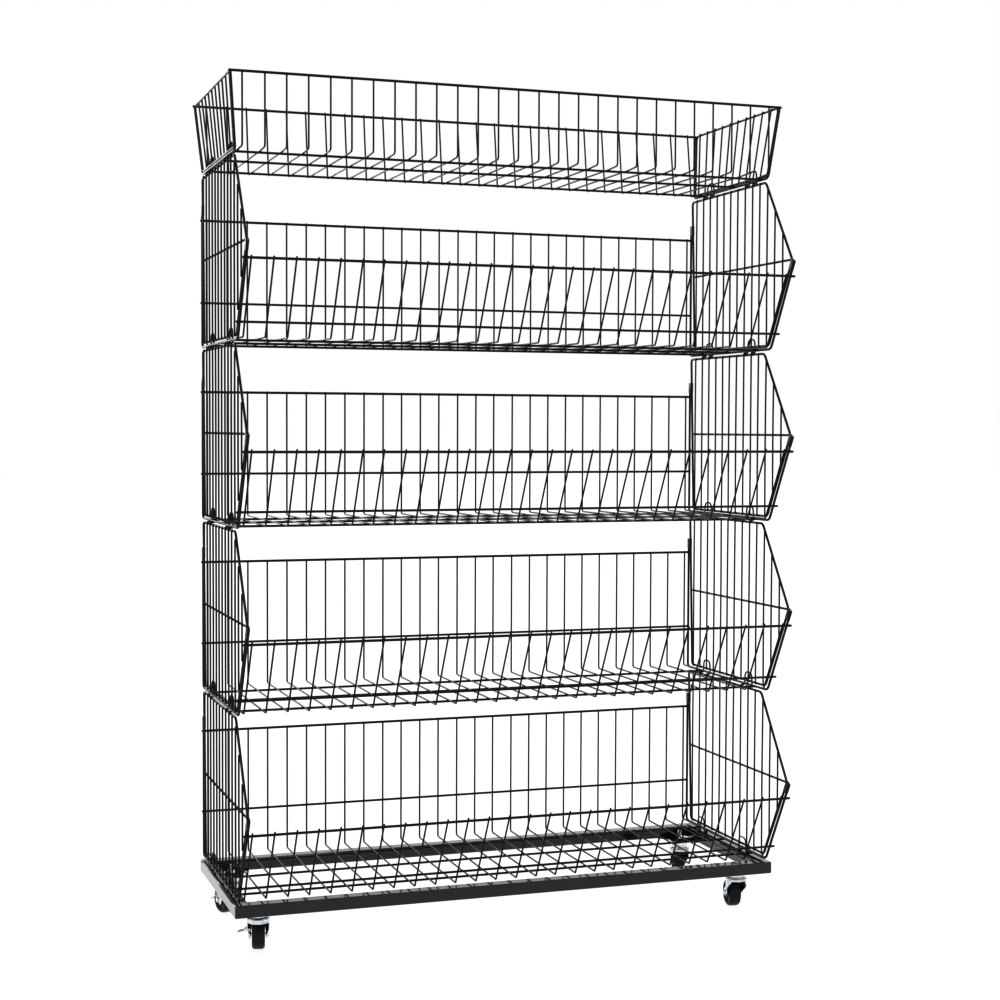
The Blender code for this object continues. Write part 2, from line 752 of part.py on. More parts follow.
def axle_mesh():
    seat = LEG_X + LEG_THICKNESS / 2 + GAP
    end = seat + AXLE_HEAD_HEIGHT
    profile = [
        (0, end),
        (AXLE_HEAD_RADIUS, end),
        (AXLE_HEAD_RADIUS, seat),
        (AXLE_RADIUS, seat),
        (AXLE_RADIUS, -seat),
        (AXLE_HEAD_RADIUS, -seat),
        (AXLE_HEAD_RADIUS, -end),
        (0, -end),
    ]
    mesh = turned_mesh("axle", profile, ROUND_STEPS)
    mesh.transform(Matrix.Rotation(math.pi / 2, 4, "Y"))
    return smooth(mesh)


def lever_mesh():
    """A side-lock lever about its own pin along Y: a barrel with a drooping tab to -X."""
    bore = (LEVER_PIN_RADIUS + GAP) / math.cos(math.pi / SMALL_STEPS)
    half = LEVER_WIDTH / 2
    profile = [(LEVER_BARREL_RADIUS, half), (LEVER_BARREL_RADIUS, -half), (bore, -half), (bore, half)]
    barrel = turned_mesh("barrel", profile, SMALL_STEPS, closed=True)
    barrel.transform(Matrix.Rotation(math.pi / 2, 4, "X"))
    start = (LEVER_BARREL_RADIUS + bore) / 2
    center = Matrix.Translation((-start - LEVER_LENGTH / 2, 0, 0))
    tab = box_mesh("tab", (LEVER_LENGTH, LEVER_WIDTH - 4 * GAP, LEVER_THICKNESS), center)
    tab.transform(Matrix.Rotation(-LEVER_DROOP, 4, "Y"))
    return fuse("brake_lever", barrel, tab)


def build_casters():
    stem = stem_mesh()
    nut = nut_mesh()
    wheel = wheel_mesh()
    axle = axle_mesh()
    lever = lever_mesh()
    forks = {brake: fork_mesh(brake) for brake in (True, False)}
    for name, caster in CASTERS.items():
        build_corner_plate(name, caster)
        pivot = bpy.data.objects.new("caster_pivot_" + name, None)
        parts.objects.link(pivot)
        pivot.location = (*stem_place(caster), 0)
        pivot.rotation_euler = (0, 0, caster["turn"])
        place("caster_stem_" + name, stem, zinc, parent=pivot)
        nut_z = CASTER_HEIGHT + PLATE_THICKNESS + GAP
        place("stem_nut_" + name, nut, zinc, (0, 0, nut_z), pivot)
        place("caster_fork_" + name, forks[caster["brake"]], zinc, parent=pivot)
        place("caster_wheel_" + name, wheel, rubber, (0, TRAIL, WHEEL_RADIUS), pivot)
        place("caster_axle_" + name, axle, zinc, (0, TRAIL, WHEEL_RADIUS), pivot)
        if caster["brake"]:
            hinge = (LEVER_AXIS_X, LEVER_BACK, LEVER_HEIGHT)
            place("brake_lever_" + name, lever, zinc, hinge, pivot)


def build_tiers():
    basket = deep_basket_mesh()
    panels = {"left": side_panel_mesh(-1), "right": side_panel_mesh(1)}
    for i in range(DEEP_TIERS):
        level = BASE_TOP + i * TIER_PITCH
        tier = DEEP_TIERS + 1 - i
        place(f"basket_tier_{tier}", basket, powder_black, (0, 0, level))
        for name, side in (("left", -1), ("right", 1)):
            place(f"side_panel_tier_{tier}_{name}", panels[name], powder_black, (side * PANEL_X, 0, level))
    level = BASE_TOP + DEEP_TIERS * TIER_PITCH
    place("top_basket", top_basket_mesh(), powder_black, (0, 0, level))
    for name, side in (("left", -1), ("right", 1)):
        place("top_basket_side_" + name, top_panel_mesh(side), powder_black, (0, 0, level))


def center_parts():
    """Moves the rack so that the middle of its outline seen from above is at the origin."""
    bpy.context.view_layer.update()
    corners = []
    for obj in parts.objects:
        if obj.type == "MESH":
            corners += [obj.matrix_world @ vertex.co for vertex in obj.data.vertices]
    middle_x = (min(c.x for c in corners) + max(c.x for c in corners)) / 2
    middle_y = (min(c.y for c in corners) + max(c.y for c in corners)) / 2
    for obj in parts.objects:
        if obj.parent is None:
            obj.location -= Vector((middle_x, middle_y, 0))


clear_scene()
parts = new_collection(OBJECT_NAME)
powder_black = make_material("black_powder_coat", BLACK)
powder_grey = make_material("charcoal_powder_coat", GREY)
zinc = make_material("zinc_plate", ZINC)
rubber = make_material("black_wheel", RUBBER)
build_base()
build_casters()
build_tiers()
center_parts()
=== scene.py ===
"""Looks of the rolling display rack: welded round wire, painted tubes and plated casters."""

import math
import random

import bmesh
import bpy
from mathutils import Matrix, Vector


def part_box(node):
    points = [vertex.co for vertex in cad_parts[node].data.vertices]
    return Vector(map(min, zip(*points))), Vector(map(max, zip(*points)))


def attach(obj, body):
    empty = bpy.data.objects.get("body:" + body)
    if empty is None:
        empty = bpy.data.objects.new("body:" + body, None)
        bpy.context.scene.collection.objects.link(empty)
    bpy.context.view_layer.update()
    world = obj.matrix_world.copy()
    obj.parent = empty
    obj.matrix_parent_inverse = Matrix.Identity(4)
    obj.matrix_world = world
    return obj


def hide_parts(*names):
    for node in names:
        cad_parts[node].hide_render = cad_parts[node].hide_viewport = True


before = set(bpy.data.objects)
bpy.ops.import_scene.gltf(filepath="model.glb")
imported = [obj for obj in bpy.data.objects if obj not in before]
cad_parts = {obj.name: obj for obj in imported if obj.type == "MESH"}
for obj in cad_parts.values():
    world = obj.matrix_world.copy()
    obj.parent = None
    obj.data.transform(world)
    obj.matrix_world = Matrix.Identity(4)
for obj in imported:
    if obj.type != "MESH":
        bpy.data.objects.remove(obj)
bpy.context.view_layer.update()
draw = random.Random(11)

# Wire radii, and how far crossing wires sink into each other
THIN = 0.0015
LONG = 0.0020
RAIL = 0.0022
FRAME = 0.0022
WELD = 0.0004
CROSS_NUGGET = THIN * 1.35
FOOT_NUGGET = THIN * 1.4

# Base frame
BASE_LENGTH = 1.000
BASE_DEPTH = 0.349
BASE_TOP = 0.0955
TUBE_WIDTH = 0.025
TUBE_HEIGHT = 0.0215
TUBE_ROUND = 0.0022
BASE_FOOT = BASE_TOP - TUBE_HEIGHT
INNER_X = BASE_LENGTH / 2 - TUBE_WIDTH
INNER_Y = BASE_DEPTH / 2 - TUBE_WIDTH
CENTER_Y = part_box("base_tube_front")[0].y + BASE_DEPTH / 2
BEAD_RADIUS = 0.0018
BRACE_REACH = 0.061
BRACE_GAP = 0.028
BRACE_THICKNESS = 0.003

# Tiers; each rests on wires that cross the frame below
TIER_PITCH = 0.314
PANEL_X = 0.492
REST = 2 * THIN

# Deep baskets, heights above the frame below
END_BACK = 0.1805
END_FRONT = -0.1665
END_FLOOR = REST + FRAME
END_BEND = 0.009
FRONT_LEAN = math.radians(29.5)
UPRIGHTS = 27
UPRIGHT_HALF = 0.4835
UPRIGHT_STRAY = 0.0005
FLOOR_LEVEL = END_FLOOR + LONG + THIN - WELD
BACK_RAIL = 0.237
BACK_MID = 0.0865
FRONT_RAIL = 0.1345
FRONT_LOW = 0.034
FLOOR_PLACES = (0.1100, 0.0008, -0.1187)
BACK_RAIL_HALF = 0.4953
FRONT_RAIL_HALF = 0.4995
FLOOR_HALF = 0.4932
TIP = 0.0026
TIP_STRAY = 0.0006
BACK_CLIP = 0.255
FRONT_CLIP = 0.151
CLIP_LENGTH = 0.020
CLIP_WALL = 0.0005
END_PAST_CLIP = 0.005

# Side panels, corners as (y, height)
APEX_HEIGHT = 0.162
PANEL_FOOT = 0.012
PANEL_TOP = TIER_PITCH - FRAME
PANEL_BACK_FOOT = (END_BACK - 0.0205, PANEL_FOOT)
PANEL_BACK_TOP = (END_BACK - 0.0057, PANEL_TOP)
PANEL_FRONT_TOP = (-BASE_DEPTH / 2 + 0.033, PANEL_TOP)
PANEL_APEX = (-BASE_DEPTH / 2 - 0.071, APEX_HEIGHT)
PANEL_FRONT_FOOT = (-BASE_DEPTH / 2 + 0.0165, PANEL_FOOT)
PANEL_BEND = 0.0075
PANEL_WIRES = 13
PANEL_WIRE_START = 0.147
PANEL_WIRE_PITCH = 0.0302
WIRE_STRAY = 0.0006
WIRE_BOW = 0.0012
WIRE_PAST = 0.0016
WIRE_ABOVE_SLOPE = 0.0080
WIRE_BELOW_SLOPE = 0.0070
BESIDE_FRAME = FRAME + THIN - WELD

# Arches that reach up beside the tier above
ARCH_WIRES = (1, 7)
ARCH_RISE = 0.0265
ARCH_ASIDE = 0.0048
ARCH_TAPER = 0.002
ARCH_BEND = 0.0095
REST_BEND = 0.002

# Shallow top basket
TOP_LEVEL = BASE_TOP + 4 * TIER_PITCH
TOP_RIM = 0.131
TOP_FLARE = 0.012
TOP_BACK_RIM = 0.1885
TOP_BACK_LOW = 0.1685
TOP_FRONT_LOW = -0.1485
TOP_FRONT_RIM = -0.1695
TOP_FRONT_BEND = 0.0100
TOP_FLOOR = (0.1273, -0.0138, -0.1263)
TOP_RIM_HALF = 0.5078
TOP_BEND = 0.010
TOP_SIDE_WIRES = 10
TOP_SIDE_MARGIN = 0.022
TOP_SIDE_NEST = 2 * FRAME + 0.0006

# Caster stem, nut and upper cup; the stems' tops are for the front (-1) and the back (1)
STEM_X = 0.4515
STEM_Y = 0.126
STEM_RADIUS = 0.0040
STEM_TOP = {-1: 0.0890, 1: 0.0935}
THREAD_PITCH = 0.0012
THREAD_DEPTH = 0.0006
NUT_FOOT = BASE_FOOT + BRACE_THICKNESS + 0.0003
NUT_HEIGHT = 0.0065
NUT_FLAT = 0.0065
NUT_CORNER = 0.0075
CUP_TOP = BASE_FOOT - 0.0003
CUP_FLANGE = 0.0194
CUP_WALL = 0.0016
CUP_NECK = 0.0147
CUP_FOOT = 0.0597
PIN_HEAD = 0.0070
PIN_SEAT = 0.0533
PIN_FOOT = 0.0520

# Caster fork; the crown of a braked fork is taller
CROWN_RADIUS = 0.0195
CROWN_INNER = 0.0180
CROWN_RIM = {True: 0.0605, False: 0.0582}
CROWN_FOOT = {True: 0.0526, False: 0.0534}
DISH_RADIUS = 0.0174
DISH_FLAT = 0.0120
DISH_TOP = 0.0562
DISH_DIP = 0.0005
DISH_UNDER = 0.0536
DISH_EDGE = 0.0080
LEG_RING = 0.0188
LEG_FLAT = 0.0140
LEG_SPAN = 0.0145
LEG_THICKNESS = 0.0017
LEG_COLUMNS = 8
LEG_BEND_START = 0.0430
LEG_BEND_DROP = 0.0170
BRAKED_LEG_FRONT = -0.0020

# Fork leg from the crown to the eye of the axle: height, front edge, back edge
LEG_ROWS = (
    (0.0562, -0.0142, 0.0145),
    (0.0530, -0.0140, 0.0145),
    (0.0498, -0.0122, 0.0150),
    (0.0465, -0.0094, 0.0162),
    (0.0430, -0.0062, 0.0182),
    (0.0390, -0.0024, 0.0215),
    (0.0350, 0.0018, 0.0256),
    (0.0310, 0.0058, 0.0288),
    (0.0275, 0.0092, 0.0304),
    (0.0250, 0.0118, 0.0306),
    (0.0222, 0.0152, 0.0298),
    (0.0195, 0.0205, 0.0274),
)

# Wheel, axle and brake lever; a dome power under 1 makes the axle's head squarer than an ellipse
WHEEL_RADIUS = 0.025
WHEEL_HALF = 0.011
TRAIL = 0.024
AXLE_RADIUS = 0.0030
AXLE_SEAT = 0.0149
AXLE_HEAD = 0.0050
AXLE_DOME = 0.0029
DOME_POWER = 0.8
LEVER_HINGE = Vector((-0.0175, 0.014, 0.0375))
LEVER_HALF = 0.0045
LEVER_SLOPE = math.radians(-10.0)
EAR_HALF = 0.0022
EAR_ASIDE = 0.0056

# Casters by corner; side is -1 on the left, end is -1 at the front
CASTERS = {
    "front_left": {"side": -1, "end": -1, "turn": math.radians(-12.0), "brake": True},
    "front_right": {"side": 1, "end": -1, "turn": math.radians(-8.5), "brake": False},
    "back_left": {"side": -1, "end": 1, "turn": math.radians(17.5), "brake": True},
    "back_right": {"side": 1, "end": 1, "turn": math.radians(-18.0), "brake": False},
}

# Camera, fitted to the photograph
CAMERA_PLACE = (-1.0471, -3.1184 + CENTER_Y, 0.8965)
CAMERA_YAW = -0.3312
CAMERA_PITCH = 0.0402
CAMERA_ROLL = 0.0037
CAMERA_LENS = 64.46


# Materials


def noise(tree, coords, scale, detail):
    node = tree.nodes.new("ShaderNodeTexNoise")
    node.inputs["Scale"].default_value = scale
    node.inputs["Detail"].default_value = detail
    tree.links.new(coords.outputs["Object"], node.inputs["Vector"])
    return node


def ramp(tree, source, low, high):
    node = tree.nodes.new("ShaderNodeValToRGB")
    node.color_ramp.elements[0].position = 0.3
    node.color_ramp.elements[1].position = 0.7
    node.color_ramp.elements[0].color = (*low, 1.0)
    node.color_ramp.elements[1].color = (*high, 1.0)
    tree.links.new(source.outputs["Fac"], node.inputs["Fac"])
    return node


def spread(tree, source, low, high):
    node = tree.nodes.new("ShaderNodeMapRange")
    node.inputs["From Min"].default_value = 0.3
    node.inputs["From Max"].default_value = 0.7
    node.inputs["To Min"].default_value = low
    node.inputs["To Max"].default_value = high
    tree.links.new(source.outputs["Fac"], node.inputs["Value"])
    return node


def finish_material(name, colors, roughness, patch_scale, grain_scale, grain,
                    metallic=0.0, specular=0.5, coat=0.0, glow=0.0):
    """Patchy colour and roughness with a fine raised grain."""
    material = bpy.data.materials.new(name)
    material.use_nodes = True
    tree = material.node_tree
    shader = tree.nodes["Principled BSDF"]
    shader.inputs["Metallic"].default_value = metallic
    shader.inputs["Specular IOR Level"].default_value = specular
    shader.inputs["Coat Weight"].default_value = coat
    shader.inputs["Coat Roughness"].default_value = 0.06
    shader.inputs["Emission Color"].default_value = (1.0, 1.0, 1.0, 1.0)
    shader.inputs["Emission Strength"].default_value = glow
    coords = tree.nodes.new("ShaderNodeTexCoord")
    patches = noise(tree, coords, patch_scale, 4.0)
    fine = noise(tree, coords, grain_scale, 2.0)
    tint = ramp(tree, patches, *colors)
    rough = spread(tree, patches, *roughness)
    bump = tree.nodes.new("ShaderNodeBump")
    bump.inputs["Strength"].default_value = grain
    bump.inputs["Distance"].default_value = 0.0002
    tree.links.new(tint.outputs["Color"], shader.inputs["Base Color"])
    tree.links.new(rough.outputs["Result"], shader.inputs["Roughness"])
    tree.links.new(fine.outputs["Fac"], bump.inputs["Height"])
    tree.links.new(bump.outputs["Normal"], shader.inputs["Normal"])
    return material


black = finish_material("black_wire_coat", ((0.004, 0.004, 0.0045), (0.009, 0.009, 0.0095)),
                        (0.20, 0.34), 45.0, 1100.0, 0.10, specular=0.4)
charcoal = finish_material("charcoal_tube_coat", ((0.009, 0.009, 0.010), (0.015, 0.015, 0.016)),
                           (0.10, 0.16), 30.0, 650.0, 0.02, coat=0.85)
zinc = finish_material("bright_zinc", ((0.56, 0.63, 0.69), (0.90, 0.91, 0.91)),
                       (0.12, 0.28), 140.0, 500.0, 0.08, metallic=1.0)
lever_zinc = finish_material("dull_zinc", ((0.26, 0.31, 0.37), (0.56, 0.60, 0.64)),
                             (0.16, 0.30), 160.0, 500.0, 0.08, metallic=1.0)
wheel_black = finish_material("black_tread", ((0.007, 0.007, 0.007), (0.014, 0.014, 0.014)),
                              (0.26, 0.42), 120.0, 1500.0, 0.12)


# Shapes


def link(name, mesh, material):
    obj = bpy.data.objects.new(name, mesh)
    bpy.context.scene.collection.objects.link(obj)
    if material and not mesh.materials:
        mesh.materials.append(material)
    return obj


def baked(obj, name):
    """The object's evaluated shape as a new mesh; the object goes."""
    graph = bpy.context.evaluated_depsgraph_get()
    graph.update()
    mesh = bpy.data.meshes.new_from_object(obj.evaluated_get(graph))
    mesh.name = name
    bpy.data.objects.remove(obj, do_unlink=True)
    return mesh


def soft_corners(points, cut, steps=5, closed=False):
    """Rounds the corners of a path, starting each bend a given length before its corner."""
    spots = [Vector(p) for p in points]
    count = len(spots)
    out = []
    for i, here in enumerate(spots):
        size = cut[i] if isinstance(cut, (list, tuple)) else cut
        at_end = not closed and i in (0, count - 1)
        if at_end or not size:
            out.append(here)
            continue
        before = here + (spots[i - 1] - here).normalized() * size
        after = here + (spots[(i + 1) % count] - here).normalized() * size
        for k in range(steps + 1):
            s = k / steps
            out.append(before * (1 - s) ** 2 + here * 2 * s * (1 - s) + after * s ** 2)
    return out


def sheared_tip(points, radius):
    """Path points with radii that round off both cut ends."""
    marks = ((0.0, 0.55), (0.3, 0.86), (0.9, 1.0))
    head = (points[1] - points[0]).normalized()
    tail = (points[-2] - points[-1]).normalized()
    start = [(points[0] + head * radius * step, radius * share) for step, share in marks]
    end = [(points[-1] + tail * radius * step, radius * share) for step, share in reversed(marks)]
    return start + [(p, radius) for p in points[1:-1]] + end


def wire_mesh(name, paths):
    """Round wires along paths of (points, radius, closed)."""
    curve = bpy.data.curves.new(name, "CURVE")
    curve.dimensions = "3D"
    curve.bevel_depth = 1.0
    curve.bevel_resolution = 2
    curve.use_fill_caps = True
    for points, radius, closed in paths:
        spots = [Vector(p) for p in points]
        profile = [(p, radius) for p in spots] if closed else sheared_tip(spots, radius)
        spline = curve.splines.new("POLY")
        spline.points.add(len(profile) - 1)
        spline.use_cyclic_u = closed
        for point, (co, size) in zip(spline.points, profile):
            point.co = (*co, 1.0)
            point.radius = size
    mesh = baked(link(name, curve, None), name)
    mesh.shade_smooth()
    return mesh


def add_welds(mesh, spots):
    """Small flattened nuggets where wires cross; a spot is (place, radius)."""
    shape = bmesh.new()
    shape.from_mesh(mesh)
    for place, radius in spots:
        wide = radius * draw.uniform(0.9, 1.15)
        deep = radius * draw.uniform(0.9, 1.15)
        matrix = Matrix.Translation(place) @ Matrix.Diagonal((wide, deep, radius, 1.0))
        bmesh.ops.create_icosphere(shape, subdivisions=1, radius=1.0, matrix=matrix)
    for face in shape.faces:
        face.smooth = True
    shape.to_mesh(mesh)
    shape.free()
    return mesh


def turned_mesh(name, profile, steps=40, closed=False):
    """Turns a profile of (radius, height), listed down its outer side, about Z."""
    mesh = bpy.data.meshes.new(name)
    shape = bmesh.new()
    rings = [shape.verts.new((radius, 0.0, height)) for radius, height in profile]
    following = rings[1:] + rings[:1] if closed else rings[1:]
    for upper, lower in zip(rings, following):
        shape.edges.new((upper, lower))
    shape.to_mesh(mesh)
    shape.free()
    obj = link(name, mesh, None)
    screw = obj.modifiers.new("screw", "SCREW")
    screw.steps = steps
    screw.render_steps = steps
    screw.use_merge_vertices = True
    screw.merge_threshold = 0.00001
    return outward(baked(obj, name))


def outward(mesh, angle=35.0):
    """Joins doubled points, turns the faces outward and keeps edges over an angle sharp."""
    shape = bmesh.new()
    shape.from_mesh(mesh)
    bmesh.ops.remove_doubles(shape, verts=shape.verts, dist=1e-6)
    bmesh.ops.recalc_face_normals(shape, faces=shape.faces)
    shape.to_mesh(mesh)
    shape.free()
    mesh.shade_smooth()
    mesh.set_sharp_from_angle(angle=math.radians(angle))
    return mesh


def plate_mesh(name, outline, thickness, edge, holes=()):
    """A flat plate in XY with rounded edges, centred on z = 0."""
    curve = bpy.data.curves.new(name, "CURVE")
    curve.dimensions = "2D"
    curve.fill_mode = "BOTH"
    curve.extrude = thickness / 2 - edge
    curve.bevel_depth = edge
    curve.bevel_resolution = 2
    curve.offset = -edge
    for points in (outline, *holes):
        spline = curve.splines.new("POLY")
        spline.points.add(len(points) - 1)
        spline.use_cyclic_u = True
        for point, (a, b) in zip(spline.points, points):
            point.co = (a, b, 0.0, 1.0)
    return outward(baked(link(name, curve, None), name))


def rounded_box(name, size, rounding, segments=3, keep=None):
    """A box with rounded edges; keep(middle) tells which edges stay sharp."""
    mesh = bpy.data.meshes.new(name)
    shape = bmesh.new()
    bmesh.ops.create_cube(shape, size=1.0)
    bmesh.ops.scale(shape, verts=shape.verts, vec=size)
    edges = [e for e in shape.edges if not (keep and keep((e.verts[0].co + e.verts[1].co) / 2))]
    bmesh.ops.bevel(shape, geom=edges, offset=rounding, segments=segments, profile=0.5, affect="EDGES")
    for face in shape.faces:
        face.smooth = max(abs(part) for part in face.normal) < 0.999
    shape.to_mesh(mesh)
    shape.free()
    return mesh


def joined(name, meshes):
    shape = bmesh.new()
    for mesh in meshes:
        shape.from_mesh(mesh)
    mesh = bpy.data.meshes.new(name)
    shape.to_mesh(mesh)
    shape.free()
    return mesh


def arc(center, radius, start, end, count):
    turns = [math.radians(start + (end - start) * k / (count - 1)) for k in range(count)]
    return [(center[0] + radius * math.cos(t), center[1] + radius * math.sin(t)) for t in turns]


def in_plane(x, points):
    return [Vector((x, y, z)) for y, z in points]


def straight(y, z, half):
    return [Vector((-half, y, z)), Vector((half, y, z))]


def show(name, mesh, material, body, nodes, place=(0, 0, 0), turn=0.0):
    """Puts a piece in the scene in place of its CAD nodes."""
    obj = link(name, mesh, material)
    obj.location = place
    obj.rotation_euler = (0, 0, turn)
    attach(obj, body)
    if nodes:
        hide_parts(*nodes)


def show_wire(name, mesh, nodes, place):
    show(name, mesh, black, "rack", nodes, place)


# Deep baskets


def front_line(height, offset=0.0):
    """The (y, z) point at a height on the leaning front, moved outward by an offset."""
    y = END_FRONT - (height - END_FLOOR) * math.tan(FRONT_LEAN)
    return (y - offset * math.cos(FRONT_LEAN), height - offset * math.sin(FRONT_LEAN))


def upright_places():
    step = 2 * UPRIGHT_HALF / (UPRIGHTS - 1)
    evenly = [-UPRIGHT_HALF + i * step for i in range(UPRIGHTS)]
    return [x + draw.uniform(-UPRIGHT_STRAY, UPRIGHT_STRAY) for x in evenly]


def deep_long_wires():
    """The wires along x as (y, z, half length, radius, direction toward the uprights)."""
    rail_out = FRAME + RAIL - WELD
    long_out = FRAME + LONG - WELD
    inward = (math.cos(FRONT_LEAN), math.sin(FRONT_LEAN))
    wires = [
        (END_BACK + rail_out, BACK_RAIL, BACK_RAIL_HALF, RAIL, (-1, 0)),
        (END_BACK + long_out, BACK_MID, BACK_RAIL_HALF, LONG, (-1, 0)),
        (*front_line(FRONT_LOW, long_out), FRONT_RAIL_HALF, LONG, inward),
        (*front_line(FRONT_RAIL, rail_out), FRONT_RAIL_HALF, RAIL, inward),
    ]
    return wires + [(y, END_FLOOR, FLOOR_HALF, LONG, (0, 1)) for y in FLOOR_PLACES]


def deep_upright(x):
    """One bent wire down the back, along the floor and up the leaning front."""
    back = END_BACK + FRAME - THIN
    tip = front_line(FRONT_RAIL + TIP + draw.uniform(-TIP_STRAY, TIP_STRAY), WELD)
    front = front_line(FLOOR_LEVEL)[0]
    corners = [(back, BACK_RAIL + TIP), (back, FLOOR_LEVEL), (front, FLOOR_LEVEL), tip]
    return soft_corners(in_plane(x, corners), (0, 0.005, 0.0028, 0))


def deep_basket_mesh():
    longs = deep_long_wires()
    paths = [(straight(y, z, half), radius, False) for y, z, half, radius, _ in longs]
    welds = []
    for x in upright_places():
        paths.append((deep_upright(x), THIN, False))
        for y, z, _, radius, toward in longs:
            welds.append(((x, y + radius * toward[0], z + radius * toward[1]), CROSS_NUGGET))
    back_tip = (END_BACK, BACK_CLIP + END_PAST_CLIP)
    front_tip = front_line(FRONT_CLIP + END_PAST_CLIP)
    ends = [back_tip, (END_BACK, END_FLOOR), (END_FRONT, END_FLOOR), front_tip]
    for side in (-1, 1):
        paths.append((soft_corners(in_plane(side * PANEL_X, ends), END_BEND, 6), FRAME, False))
        welds += [((side * PANEL_X, y, z), radius * 1.3) for y, z, _, radius, _ in longs]
    return add_welds(wire_mesh("deep_basket", paths), welds)


def clip_mesh(reach):
    """A pressed sleeve round the end wire and the panel's frame, which lie a reach apart along y."""
    radius = FRAME + CLIP_WALL
    outline = arc((0, 0), radius, -90, 90, 9) + arc((-reach, 0), radius, 90, 270, 9)
    return plate_mesh("clip", [(b, a) for a, b in outline], CLIP_LENGTH, 0.0004)


def deep_clips_mesh():
    back_reach = END_BACK - panel_back_y(BACK_CLIP)
    front_reach = (PANEL_APEX[0] - front_line(APEX_HEIGHT)[0]) * math.cos(FRONT_LEAN)
    about = Matrix.Rotation(FRONT_LEAN, 4, "X") @ Matrix.Rotation(math.pi, 4, "Z")
    meshes = []
    for side in (-1, 1):
        back = clip_mesh(back_reach)
        back.transform(Matrix.Translation((side * PANEL_X, END_BACK, BACK_CLIP)))
        front = clip_mesh(front_reach)
        front.transform(Matrix.Translation((side * PANEL_X, *front_line(FRONT_CLIP))) @ about)
        meshes += [back, front]
    return joined("clips", meshes)


# Side panels


def height_at(start, end, y):
    share = (y - start[0]) / (end[0] - start[0])
    return start[1] + share * (end[1] - start[1])


def panel_back_y(height):
    share = (height - PANEL_FOOT) / (PANEL_TOP - PANEL_FOOT)
    return PANEL_BACK_FOOT[0] + share * (PANEL_BACK_TOP[0] - PANEL_BACK_FOOT[0])


def panel_wire_y(index):
    return PANEL_WIRE_START - index * PANEL_WIRE_PITCH


def panel_span(y):
    """Where the frame crosses y below and above."""
    below = PANEL_FOOT if y > PANEL_FRONT_FOOT[0] else height_at(PANEL_FRONT_FOOT, PANEL_APEX, y)
    above = PANEL_TOP if y > PANEL_FRONT_TOP[0] else height_at(PANEL_FRONT_TOP, PANEL_APEX, y)
    return below, above


def panel_wire(y, bow, below, above):
    """A slightly bowed upright whose tips pass the frame, further where the frame slopes."""
    past = WIRE_PAST if y > PANEL_FRONT_TOP[0] else WIRE_ABOVE_SLOPE
    under = WIRE_PAST if y > PANEL_FRONT_FOOT[0] else WIRE_BELOW_SLOPE
    corners = [(y, below - under), (y + 2 * bow, APEX_HEIGHT), (y, above + past)]
    reach = 0.9 * min(APEX_HEIGHT - below, above - APEX_HEIGHT)
    return soft_corners(in_plane(-BESIDE_FRAME, corners), reach)


def arch_corners(near, far, legs, base):
    """An arch that starts flat at x = near, crosses over a base height to x = far and rises there."""
    first, second = legs
    rest = base + THIN
    crest = base + ARCH_RISE
    return [(near, first, rest), (far, first, rest), (far, first - ARCH_TAPER, crest),
            (far, second + ARCH_TAPER, crest), (far, second, rest), (near, second, rest)]


def panel_arch(index):
    """Two neighbouring uprights that join in an arch over the frame's top."""
    legs = (panel_wire_y(index), panel_wire_y(index + 1))
    foot = PANEL_FOOT - WIRE_PAST
    arch = arch_corners(-BESIDE_FRAME, ARCH_ASIDE, legs, TIER_PITCH)
    corners = [(-BESIDE_FRAME, legs[0], foot), *arch, (-BESIDE_FRAME, legs[1], foot)]
    bends = (0, REST_BEND, REST_BEND, ARCH_BEND, ARCH_BEND, REST_BEND, REST_BEND, 0)
    return soft_corners(corners, bends, 6)


def side_panel_mesh():
    """Frame and middle wire in one plane, with uprights on its -x side; it serves both sides."""
    corners = [PANEL_BACK_FOOT, PANEL_BACK_TOP, PANEL_FRONT_TOP, PANEL_APEX, PANEL_FRONT_FOOT]
    paths = [(soft_corners(in_plane(0, corners), PANEL_BEND, 6, closed=True), FRAME, True)]
    welds = []
    arched = [i + k for i in ARCH_WIRES for k in (0, 1)]
    for i in range(PANEL_WIRES):
        y = panel_wire_y(i) + draw.uniform(-WIRE_STRAY, WIRE_STRAY)
        bow = draw.uniform(-WIRE_BOW, WIRE_BOW)
        below, above = panel_span(y)
        welds += [((-FRAME, y, z), FOOT_NUGGET) for z in (below, above)]
        welds.append(((-LONG, y + bow, APEX_HEIGHT), CROSS_NUGGET))
        if i not in arched:
            paths.append((panel_wire(y, bow, below, above), THIN, False))
    paths += [(panel_arch(i), THIN, False) for i in ARCH_WIRES]
    paths.append((in_plane(0, [(panel_back_y(APEX_HEIGHT), APEX_HEIGHT), PANEL_APEX]), LONG, False))
    return add_welds(wire_mesh("side_panel", paths), welds)


# Top basket


def tray_x(side, z):
    return side * (PANEL_X + TOP_FLARE * z / TOP_RIM)


def tray_leaning(side, points, inset=0.0):
    return [Vector((tray_x(side, z) - side * inset, y, z)) for y, z in points]


def tray_upright(x):
    """One bent wire down the tray's back, along its floor and up its front."""
    back_tip = TOP_RIM + FRAME + WELD + draw.uniform(0, WELD)
    corners = [
        (TOP_BACK_RIM - BESIDE_FRAME, back_tip),
        (TOP_BACK_LOW - BESIDE_FRAME, FLOOR_LEVEL),
        (TOP_FLOOR[-1], FLOOR_LEVEL),
        (TOP_FRONT_RIM + BESIDE_FRAME, TOP_FRONT_BEND),
        (TOP_FRONT_RIM + BESIDE_FRAME, TOP_RIM),
    ]
    return soft_corners(in_plane(x, corners), (0, 0.003, 0.006, 0.006, 0))


